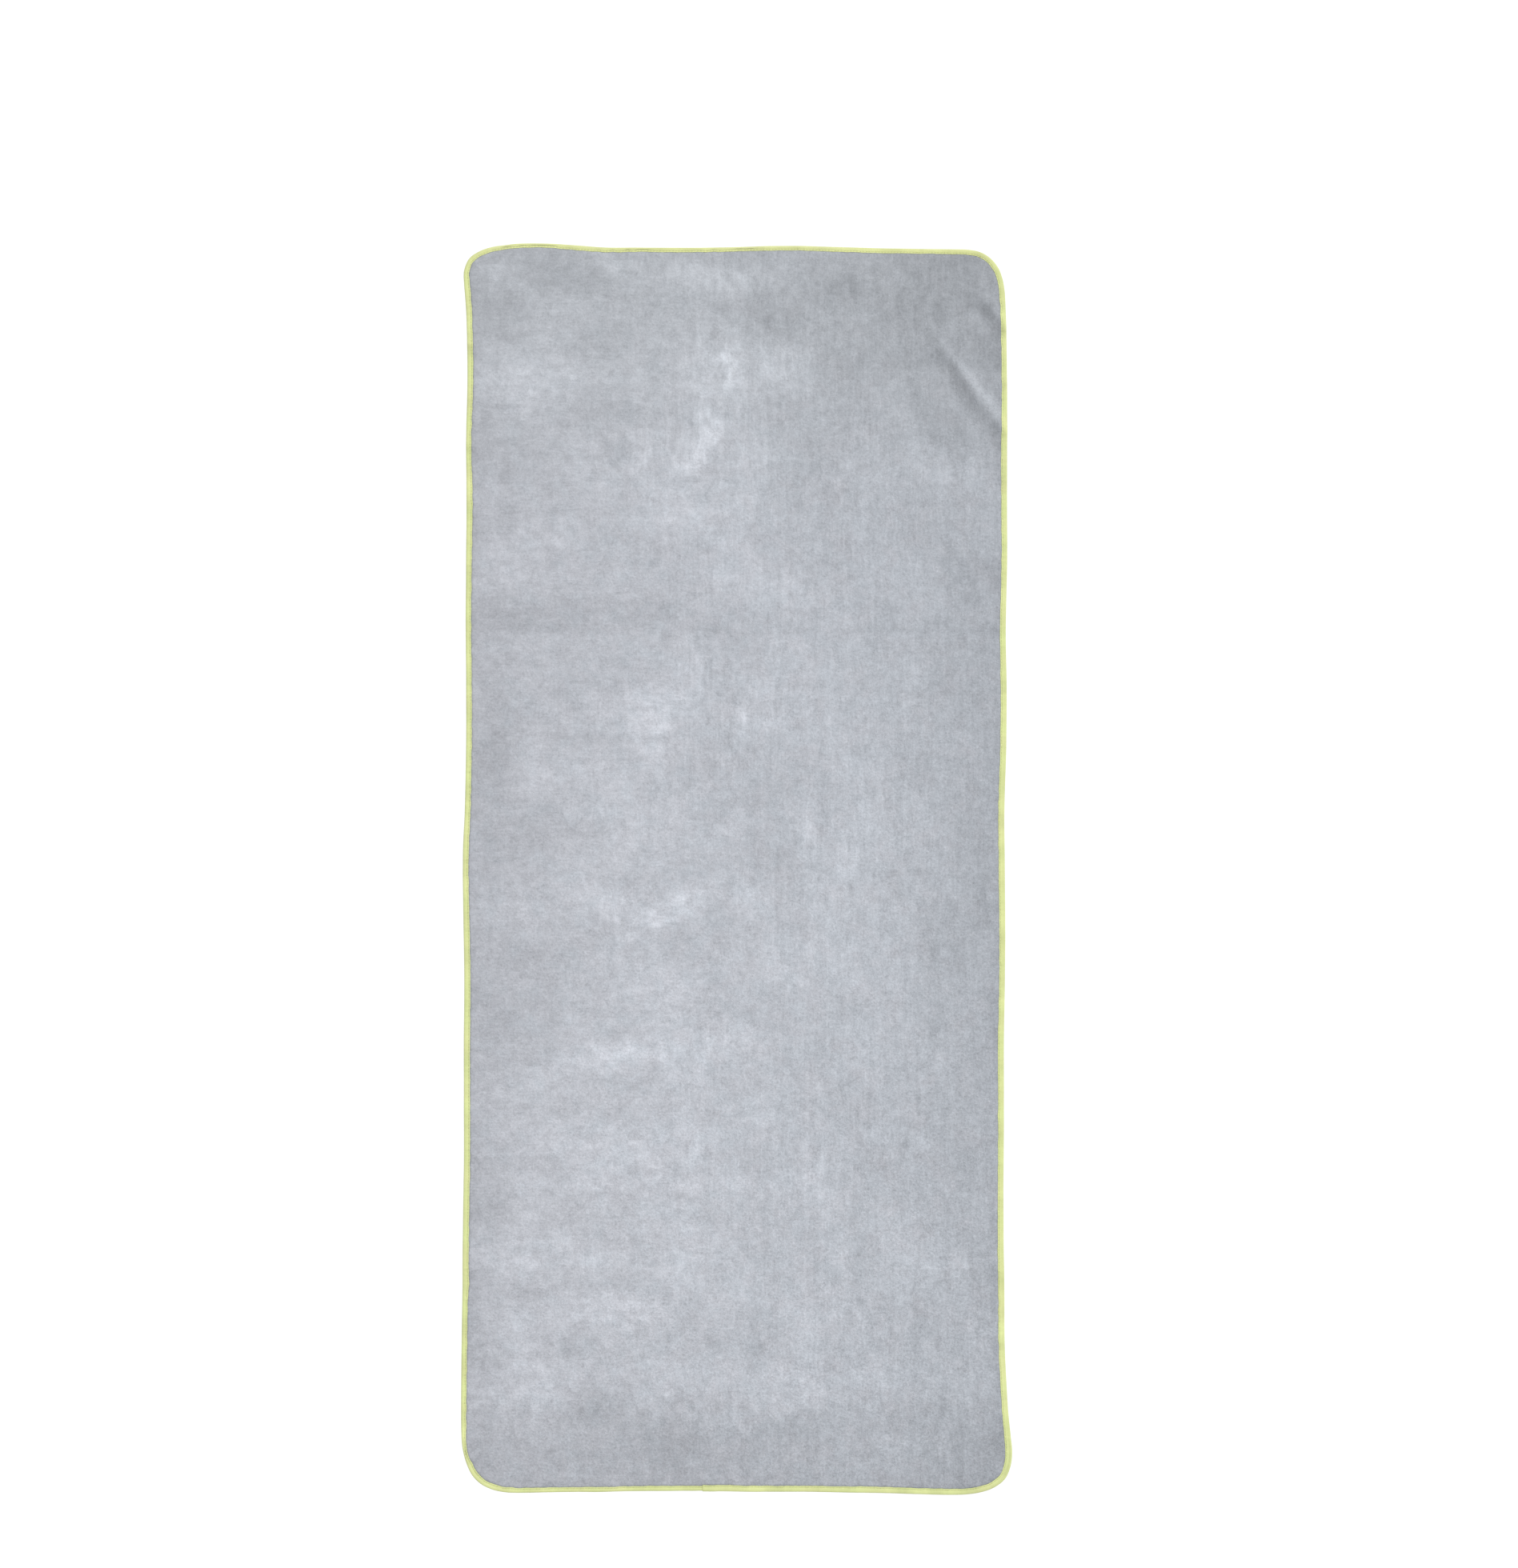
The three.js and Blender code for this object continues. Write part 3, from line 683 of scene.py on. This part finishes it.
# ---- panel -------------------------------------------------------------------------------------------------------
def panel():
    s = np.arange(1300) * LENGTH / 1300
    wt, wu, line = top_width(s), under_width(s), stitch_line(s)
    late = 0.22 + 0.2 * wander(71, 5, 26, s)
    top_rings = [
        (1.2 + 0 * s, 0.5), (line - 0.4, 0.5), (wt - 0.5, 0.6), (wt - 0.02, 0.72), (wt + 0.12 + late, 1.0),
        (wt + 0.45 + late, 1.25), (wt + 0.95 + late, 1.4), (wt + 1.8 + late, 1.47), (wt + 3.1, 1.5), (wt + 5.0, 1.5),
        (wt + 7.8, 1.5), (wt + 11.5, 1.5),
    ]
    under_rings = [
        (line - 0.4, -0.42), (wu - 0.4, -0.5), (wu + 0.35 + late, -1.1), (wu + 1.3, -1.4), (wu + 3.0, -1.49),
        (wu + 6.8, -1.5), (wu + 11.3, -1.5),
    ]

    # the label's bed, in the pile of the underside
    def bedded(sa, da, z):
        away = np.abs((sa - LABEL_S + LENGTH / 2) % LENGTH - LENGTH / 2)
        deep = smooth((LABEL_HALF + 4.2 - away) / 2.6) * smooth((LABEL_END + 2.4 - da) / 1.6) * smooth((da - 2) / 1.0)
        return np.where(z < 0, z + deep * np.clip(label_bed(sa, da) - z, 0, None), z)

    places, faces, tones, rows = [], [], [], []
    count = 0

    def ring(d, z):
        nonlocal count
        p, n = on_edge(s)
        flat = p + n * d[:, None]
        places.append(laid(s, d, bedded(s, d, np.full_like(s, z))))
        tones.append((pile_tone_and_painted_light if z > 0 else under_tone)(flat[:, 0], flat[:, 1], s, d))
        rows.append(row_share(flat[:, 0], flat[:, 1]))
        count += len(s)
        return np.arange(count - len(s), count), flat

    def middle(last, flat, spacing, extra, z):
        """The inside of the last ring, as triangles on a grid of that spacing."""
        nonlocal count
        xs, ys = np.arange(-312, 312, spacing), np.arange(-706, 706, spacing)
        gx, gy = (a.ravel() for a in np.meshgrid(xs, ys))
        gx, gy = np.concatenate([gx, extra[:, 0]]), np.concatenate([gy, extra[:, 1]])
        gs, gd = near_edge(gx, gy)
        inside = (np.abs(gx) < 312) & (np.abs(gy) < 706) & (gd > 17.5 + 0.55 * spacing) & inside_ring(gx, gy, EDGE[::8])
        gx, gy, gs, gd = gx[inside], gy[inside], gs[inside], gd[inside]
        n = len(last)
        points = np.concatenate([flat, np.column_stack([gx, gy])])
        bound = [(i, (i + 1) % n) for i in range(n)]
        out, _, triangles, origin, _, _ = delaunay_2d_cdt([Vector(p) for p in points], bound, [], 1, 1e-6, True)
        first = [o[0] if o else -1 for o in origin]
        if len(out) > len(points) or -1 in first:
            raise RuntimeError("the panel's triangulation added points")
        found = np.array([[first[v] for v in t] for t in triangles])
        slivers = np.flatnonzero((found < n).all(1))
        at = points[found[slivers]].mean(1)
        found = np.delete(found, slivers[~inside_ring(at[:, 0], at[:, 1], flat)], axis=0)
        number = np.concatenate([last, count + np.arange(len(gx))])
        places.append(laid_plan(gx, gy, bedded(gs, gd, np.full(len(gx), z))))
        tones.append((pile_tone_and_painted_light if z > 0 else under_tone)(gx, gy, gs, gd))
        rows.append(row_share(gx, gy))
        count += len(gx)
        return number[found]

    numbered = []
    for d, z in top_rings:
        numbered.append(ring(d, z))
    for (a, _), (b, _) in zip(numbered, numbered[1:]):
        faces.append(strip(a, b))
    finer = []
    for at, _, _, _, tilt in CREASES:
        x = np.arange(-282, 282, 4.0)
        for off in (-2.0, 2.0):
            finer.append(np.column_stack([x, at + tilt * x + off]))
    fx, fy = (a.ravel() for a in np.meshgrid(np.arange(206, 288, 4.0) + 2, np.arange(468, 648, 4.0) + 2))
    finer.append(np.column_stack([fx, fy]))
    faces.append(middle(*numbered[-1], 4.0, np.concatenate(finer), 1.5))
    edge_d = 1.2 + 0 * s
    low, _ = ring(edge_d, -0.42)
    faces.append(strip(low, numbered[0][0]))
    under = [(low, None)]
    for d, z in under_rings:
        under.append(ring(d, z))
    for (a, _), (b, _) in zip(under, under[1:]):
        faces.append(strip(a, b)[:, ::-1])
    lx, ly = (a.ravel() for a in np.meshgrid(np.arange(-292, -260, 1.5) + 0.4, np.arange(-486, -444, 1.5) + 0.4))
    faces.append(middle(*under[-1], 8.2, np.column_stack([lx, ly]), -1.5)[:, ::-1])
    flat_faces = [list(f) for block in faces for f in block.tolist()]
    return mesh_object(
        "velour_panel", np.concatenate(places), flat_faces, velour(),
        {"nap_and_painted_light": np.concatenate(tones), "rows": np.concatenate(rows)},
    )


def inside_ring(x, y, ring):
    """Whether points of the plan are inside a closed ring of them."""
    inside = np.zeros(len(x), bool)
    for (x0, y0), (x1, y1) in zip(ring, np.roll(ring, -1, 0)):
        if y0 != y1:
            crosses = (y0 > y) != (y1 > y)
            inside ^= crosses & (x < (x1 - x0) * (y - y0) / (y1 - y0) + x0)
    return inside


# ---- binding -----------------------------------------------------------------------------------------------------
PITCH = LENGTH / round(LENGTH / 3.5)
TUCK = 9.0
# The section, from the inner edge of the upper leg round the fold to the lower leg and back inside the channel: how
# much of it counts from the outside (0), the upper leg's edge (1), the stitch line (2) or the lower leg's edge (3), how
# far in from there, and the height.
SECTION = [
    (1, -0.10, 0.78), (1, 0.0, 0.96), (1, -0.12, 1.14), (1, -0.45, 1.24), (1, -0.95, 1.22), (2, 0.24, 1.13), (2, 0.0, 1.06),
    (2, -0.24, 1.13), (2, -0.65, 1.30), (2, -1.35, 1.43), (0, 2.1, 1.50), (0, 1.35, 1.42), (0, 0.72, 1.20),
    (0, 0.28, 0.84), (0, 0.05, 0.40), (0, 0.0, 0.0), (0, 0.08, -0.50), (0, 0.5, -1.05), (0, 1.3, -1.40), (0, 2.3, -1.49),
    (2, -0.55, -1.40), (2, 0.0, -1.18), (2, 0.55, -1.36), (3, -0.35, -1.36), (3, 0.0, -1.10), (3, -0.12, -0.84),
    (2, 0.3, -0.62), (2, -0.7, -0.76), (0, 1.5, -0.84), (0, 0.76, -0.46), (0, 0.62, 0.08), (0, 0.86, 0.60),
    (0, 1.6, 0.84), (2, -0.7, 0.78), (2, 0.2, 0.56),
]
OUTER_POINTS = 25
CREASED_TAPE = [  # creases in the tape, drawn as a groove with painted shade in it: x, y, half width along, how far in, half width across, how dark and deep
    (307.5, -655, 13, 2.6, 1.3, 0.15), (304, -676, 7, 3.6, 1.4, 0.17), (-304.5, -656, 7, 3.6, 1.5, 0.17),
    (-306.8, -642, 6, 4.4, 1.0, 0.09), (-297, -677, 8, 5.2, 0.9, 0.10), (303, 490, 8, 3.5, 1.6, 0.07),
    (302, 605, 7, 3.5, 1.6, 0.06), (-303, 471, 6, 3.5, 1.5, 0.06), (-302, 583, 6, 3.5, 1.5, 0.05),
]


def section_rows(t, grow, slim):
    """The section at stations t: in from the edge, height. grow pushes the outside out, and slim draws it in."""
    start = {0: 0 * t, 1: top_width(t), 2: stitch_line(t), 3: under_width(t)}
    d = np.stack([start[kind] + off for kind, off, _ in SECTION], axis=1)
    z = np.stack([np.full_like(t, up) for _, _, up in SECTION], axis=1)
    outer = np.arange(len(SECTION)) < OUTER_POINTS
    shift = (grow - slim)[:, None] * outer
    z = z + shift * np.sign(z) * np.clip(np.abs(z) / 1.0, 0, 1)
    d = d - shift * np.clip(1 - d / 1.2, 0, 1)
    inner = ~outer
    z = np.where(inner & (slim[:, None] > 0), z * (1 - 0.35 * slim[:, None]), z)
    return d, z


def binding():
    half = PITCH / 2
    t = np.concatenate([[-0.28, -0.12], np.arange(0, LENGTH + TUCK, half)])
    # the end that shows is turned under and lies over the one that is tucked in
    grow = 0.36 * (1 - smooth((t - TUCK - 1) / 9)) * (t < TUCK + 12)
    grow[:2] = [0.05, 0.27]
    slim = 0.30 * smooth((t - LENGTH + 12) / 10)
    d, z = section_rows(t, grow, slim)
    sign_top = np.clip((z - 0.9) * 4, 0, 1)
    phase = np.round(t / half).astype(int) % 2
    draw = np.where(phase == 0, -1.0, 1.0) * (0.05 + 0.02 * wander(81, 20, 90, t))
    near_seam = np.exp(-(((d - stitch_line(t)[:, None]) / 0.75) ** 2))
    inner_zone = np.exp(-(((d - stitch_line(t)[:, None] + 0.5) / 1.6) ** 2))
    z = z + draw[:, None] * (0.75 * near_seam + 0.5 * inner_zone) * sign_top
    for x, y, half, inward, wide, strength in CREASED_TAPE:
        z = z - 1.3 * strength * bell(t, s_at(x, y), half)[:, None] * np.exp(-(((d - inward) / wide) ** 2)) * sign_top
    # fullness of the tape between the seam and the fold
    z = z + (0.06 * wander(82, 9, 40, t) + 0.04 * wander(83, 5, 9, t))[:, None] * sign_top * np.clip(d / 1.5, 0, 1)
    edge_bite = np.where(phase == 0, -0.05, 0.035) + 0.05 * wander(84, 5, 18, t)
    d = d + edge_bite[:, None] * (np.abs(d - top_width(t)[:, None]) < 0.7) * (z > 0)
    n, k = d.shape
    places = laid(np.repeat(t, k), d.ravel(), z.ravel())
    index = np.arange(n * k).reshape(n, k)
    faces = []
    for a, b in zip(index, index[1:]):
        faces.append(strip(a, b))
    flat_faces = [list(f) for block in faces for f in block.tolist()]
    flat_faces += [index[0][::-1].tolist(), index[-1].tolist()]
    # painted shade at each stitch hole, along the outer fold and along the inner edge of the upper leg
    shade = 1.0 - 0.06 * near_seam * (phase == 0)[:, None] - 0.06 * np.exp(-((d / 0.7) ** 2)) - 0.05 * np.exp(
        -(((d - top_width(t)[:, None]) / 0.35) ** 2)
    )
    # a random tone along the tape
    shade = shade + 0.03 * wander(85, 30, 200, t)[:, None]
    # painted highlight on the inner half of the upper leg along the right side and the head, and painted shade toward
    # the fold there
    run, _ = on_edge(t)
    right, head = smooth((run[:, 0] - 262) / 30), smooth((run[:, 1] - 655) / 30)
    painted_highlight = 0.13 * right * (1 - head) * np.exp(-(((d.T - 5.2) / 1.7) ** 2)) + 0.095 * head * np.exp(-(((d.T - 4.0) / 1.4) ** 2))
    shade = shade + (painted_highlight - 0.02 * np.maximum(right, head) * np.exp(-((d.T / 1.8) ** 2))).T * sign_top
    # painted shade in the tape's creases
    for x, y, half, inward, wide, strength in CREASED_TAPE:
        shade = shade - strength * bell(t, s_at(x, y), half)[:, None] * np.exp(-(((d - inward) / wide) ** 2)) * sign_top
    girth = np.cumsum(np.concatenate([[0], [
        math.hypot(a[1] - b[1] + 5.0 * (a[0] > 0) - 5.0 * (b[0] > 0), a[2] - b[2]) for a, b in zip(SECTION, SECTION[1:])
    ]]))
    return mesh_object(
        "binding_tape", places, flat_faces, tape(),
        {"along": np.repeat(t, k), "across": np.tile(girth, n), "shade": shade.ravel()},
    )


# ---- stitching ---------------------------------------------------------------------------------------------------
# One lockstitch: how far along it, and how high the middle of the thread is over the groove's floor.
STITCH = [(0.0, -0.95), (0.04, -0.2), (0.10, 0.10), (0.26, 0.19), (0.5, 0.21), (0.74, 0.19), (0.90, 0.10), (0.96, -0.2)]
THREAD_RADIUS, THREAD_SIDES = 0.17, 6


def stitching(name, side, replaces_floor):
    """A thread that lies on the tape between holes and goes down at each hole to the middle of the cloth, where it locks with the other one."""
    stitches = round(LENGTH / PITCH)
    number = np.arange(stitches + 3)
    u = np.array([a for a, _ in STITCH])
    up = np.array([b for _, b in STITCH])
    jitter = 0.10 * wander(91 if side > 0 else 92, 3.2, 11, number * PITCH)
    t = 0.9 + (number[:, None] + u[None]) * PITCH + jitter[:, None] * np.sin(math.pi * u)[None]
    over = smooth((t - LENGTH + 1) / 2)  # the last stitches go over the first ones
    d = stitch_line(t % LENGTH) + 0.18 * side * (u[None] - 0.5) + 0.05 * wander(93, 9, 60, t) + 0.36 * over
    grow = 0.36 * (1 - smooth((t % LENGTH - TUCK - 1) / 9)) * ((t % LENGTH) < TUCK + 12)
    floor = replaces_floor + grow
    above = np.broadcast_to(up[None], t.shape)
    z = np.where(above < -0.5, 0.16, floor + above)
    t, d, z = t.ravel(), d.ravel(), (side * z).ravel()
    line = laid(t % LENGTH, d, z)
    ahead = np.gradient(line, axis=0)
    ahead /= np.linalg.norm(ahead, axis=1)[:, None]
    _, n = on_edge(t % LENGTH)
    across = np.column_stack([n, np.zeros(len(n))])
    across -= ahead * (across * ahead).sum(1)[:, None]
    across /= np.linalg.norm(across, axis=1)[:, None]
    other = np.cross(ahead, across)
    angle = np.arange(THREAD_SIDES) * 2 * math.pi / THREAD_SIDES
    rings = line[:, None] + THREAD_RADIUS * (
        np.cos(angle)[None, :, None] * across[:, None] + np.sin(angle)[None, :, None] * other[:, None]
    )
    index = np.arange(len(line) * THREAD_SIDES).reshape(len(line), THREAD_SIDES)
    faces = [list(f) for a, b in zip(index, index[1:]) for f in strip(a, b).tolist()]
    faces += [index[0][::-1].tolist(), index[-1].tolist()]
    return mesh_object(
        name, rings.reshape(-1, 3), faces, THREAD_MATERIAL,
        {"along": np.repeat(t, THREAD_SIDES), "across": np.tile(angle / (2 * math.pi), len(line))},
    )


# ---- care label --------------------------------------------------------------------------------------------------
LABEL_S, LABEL_HALF, LABEL_START, LABEL_END = s_at(-307, -465), 15.0, 2.4, 42.0


def label_bed(s, d):
    """How high the underside of the cloth is over the label."""
    return -0.66 - 0.46 * smooth((d - under_width(s) - 0.1) / 2.6)


def label():
    """A blank strip of satin, caught between the cloth and the lower leg of the tape."""
    v = np.linspace(-LABEL_HALF, LABEL_HALF, 31)
    d = np.concatenate([np.linspace(LABEL_START, 12, 30), np.linspace(13, LABEL_END, 30)])
    vv, dd = np.meshgrid(v, d, indexing="ij")
    edge = under_width(LABEL_S + vv)
    middle = label_bed(LABEL_S + vv, dd) - 0.15 + 0.12 * smooth((edge - 0.4 - dd) / 1.2)
    middle = middle + 0.03 * np.sin(vv * 0.5) * smooth((dd - edge - 3) / 6) + 0.02 * np.sin(dd * 0.45 + 1)
    thin = 0.09 * np.ones_like(middle)
    wave = 0.25 * np.sin(dd * 0.9) * (np.abs(vv) > LABEL_HALF - 0.1) * np.sign(vv)
    curve = 0.35 * np.sin(vv * 0.22 + 0.6) * (dd > LABEL_END - 0.1)
    s = LABEL_S + vv + 0.4 * wave
    top = laid(s.ravel(), (dd + curve).ravel(), (middle + thin).ravel())
    low = laid(s.ravel(), (dd + curve).ravel(), (middle - thin).ravel())
    low[:, 2] = np.maximum(low[:, 2], 0.03)
    a = np.arange(vv.size).reshape(vv.shape)
    b = a + vv.size
    faces = []
    for i in range(a.shape[0] - 1):
        faces += strip(a[i], a[i + 1], False)[:, ::-1].tolist()
        faces += strip(b[i], b[i + 1], False).tolist()
    rim_a = np.concatenate([a[:-1, 0], a[-1, :-1], a[:0:-1, -1], a[0, :0:-1]])
    rim_b = np.concatenate([b[:-1, 0], b[-1, :-1], b[:0:-1, -1], b[0, :0:-1]])
    faces += strip(rim_a, rim_b)[:, ::-1].tolist()
    shade = 1.0 - 0.08 * (np.abs(vv) > LABEL_HALF - 0.9) - 0.06 * (dd > LABEL_END - 1.2)
    return mesh_object(
        "care_label_satin", np.concatenate([top, low]), faces, satin(), {"shade": np.tile(shade.ravel(), 2)}
    )


THREAD_MATERIAL = sewing_thread()
towel = panel()
edging = binding()
needle = stitching("needle_stitches", 1, 1.06)
bobbin = stitching("bobbin_stitches", -1, 1.10)
tag = label()

for piece, node, slot in (
    (towel, "towel_panel", "panel_velour"), (edging, "edge_binding", "binding_tape"),
    (needle, "needle_thread", "sewing_thread"), (bobbin, "bobbin_thread", "sewing_thread"),
    (tag, "care_label", "label_satin"),
):
    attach(piece, next(iter(frame["bodies"])))
    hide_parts(node)

# ---- stage -------------------------------------------------------------------------------------------------------
def ground():
    """White backing, lit from behind: pure white from straight above, with faint shadows when seen from the side."""
    m = Nodes("floor_paper")
    m.finish(Base_Color=(0.9, 0.9, 0.9, 1.0), Roughness=1.0, Specular_IOR_Level=0.0)
    paper = m.out.inputs["Surface"].links[0].from_socket
    glow = m.node("ShaderNodeEmission", {"Color": (1, 1, 1, 1), "Strength": 1.1}).outputs[0]
    slant = m.node("ShaderNodeLayerWeight", {"Blend": 0.5}).outputs["Facing"]
    lit = m.math("SUBTRACT", 0.9, m.math("MULTIPLY", slant, 0.75))
    seen = m.math("MULTIPLY", m.node("ShaderNodeLightPath").outputs["Is Camera Ray"], lit)
    m.tree.links.new(m.node("ShaderNodeMixShader", {0: seen, 1: paper, 2: glow}).outputs[0], m.out.inputs["Surface"])
    m.material.cycles.emission_sampling = "NONE"
    return m.material


reach = 40000.0
floor = mesh_object(
    "floor", np.array([[-reach, -reach, -0.15], [reach, -reach, -0.15], [reach, reach, -0.15], [-reach, reach, -0.15]]),
    [[0, 1, 2, 3]], ground(),
)

scene = bpy.context.scene
scene.view_settings.view_transform = "Standard"
scene.view_settings.look = "None"
scene.view_settings.exposure = 0.0
scene.view_settings.gamma = 1.0

DOME, SUN = 0.755, 0.378
world = bpy.data.worlds.new("studio")
scene.world = world
world.use_nodes = True
tree = world.node_tree
tree.nodes.clear()
out = tree.nodes.new("ShaderNodeOutputWorld")
pick = tree.nodes.new("ShaderNodeMixShader")
seen = tree.nodes.new("ShaderNodeLightPath")
for i, (colour, strength) in enumerate((((1.0, 1.0, 1.0, 1.0), DOME), ((1.0, 1.0, 1.0, 1.0), 1.05))):
    light = tree.nodes.new("ShaderNodeBackground")
    light.inputs["Color"].default_value = colour
    light.inputs["Strength"].default_value = strength
    tree.links.new(light.outputs[0], pick.inputs[1 + i])
tree.links.new(seen.outputs["Is Camera Ray"], pick.inputs[0])
tree.links.new(pick.outputs[0], out.inputs["Surface"])

key = bpy.data.lights.new("key", "SUN")
high = math.radians(42)
key.energy = SUN * math.pi / math.sin(high)
key.angle = math.radians(24)
key.color = (1.0, 0.995, 0.985)
lamp = bpy.data.objects.new("key", key)
way = Vector((0.62 * math.cos(high), 0.785 * math.cos(high), math.sin(high)))
lamp.rotation_euler = way.to_track_quat("Z", "Y").to_euler()
lamp.location = way * 3
scene.collection.objects.link(lamp)

# ---- camera: straight down over the towel, a little to the right of its middle and above it ------------------------
camera = bpy.data.cameras.new("camera")
camera.lens, camera.sensor_width = 85, 36
camera.clip_start, camera.clip_end = 0.1, 100
eye = bpy.data.objects.new("camera", camera)
FRAME_HIGH = 1.7567
eye.location = (0.0251, 0.0955, 0.003 + FRAME_HIGH * camera.lens / camera.sensor_width)
eye.rotation_euler = (0, 0, 0)
scene.collection.objects.link(eye)
scene.camera = eye
